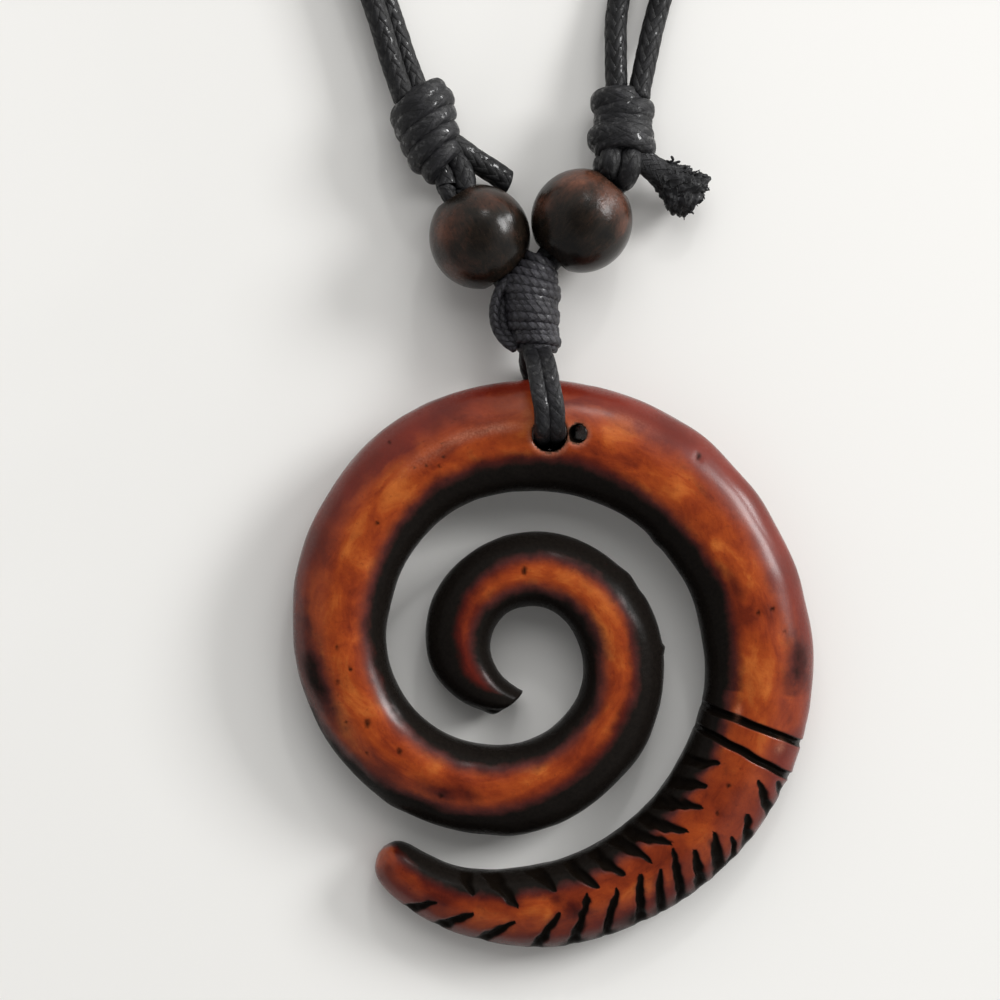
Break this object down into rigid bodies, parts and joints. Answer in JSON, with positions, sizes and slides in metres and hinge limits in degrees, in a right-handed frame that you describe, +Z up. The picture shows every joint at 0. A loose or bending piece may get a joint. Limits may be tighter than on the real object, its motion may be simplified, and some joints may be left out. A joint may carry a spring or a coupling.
{
  "type": "spiral pendant necklace",
  "caption": "Flat carved spiral pendant with a hook-like, herringbone-cut tail on an adjustable cord with a lashing, wooden beads and wrapped sliding knots.",
  "frame": {"origin": "on the surface that the necklace lies on, midway between the low edge of the pendant's tail and the far end of the neck loop, and midway across the loop", "axes": "+Z up off the surface, out of the pendant's carved face; +Y from the pendant towards the back of the neck; +X to the right with the carved face up"},
  "size_m": [0.1069, 0.2065, 0.0091],
  "materials": {
    "stained_bone": "gloss",
    "dark_wood": "satin",
    "black_cord": "waxed"
  },
  "bodies": {
    "root": {"spiral_pendant": "stained_bone", "pendant_loop": "black_cord", "lashing": "black_cord", "bead_left": "dark_wood", "bead_right": "dark_wood", "bead_cord_left": "black_cord", "bead_cord_right": "black_cord", "knot_left": "black_cord", "knot_right": "black_cord", "neck_cord_outer": "black_cord", "neck_cord_inner": "black_cord"}
  },
  "joints": []
}
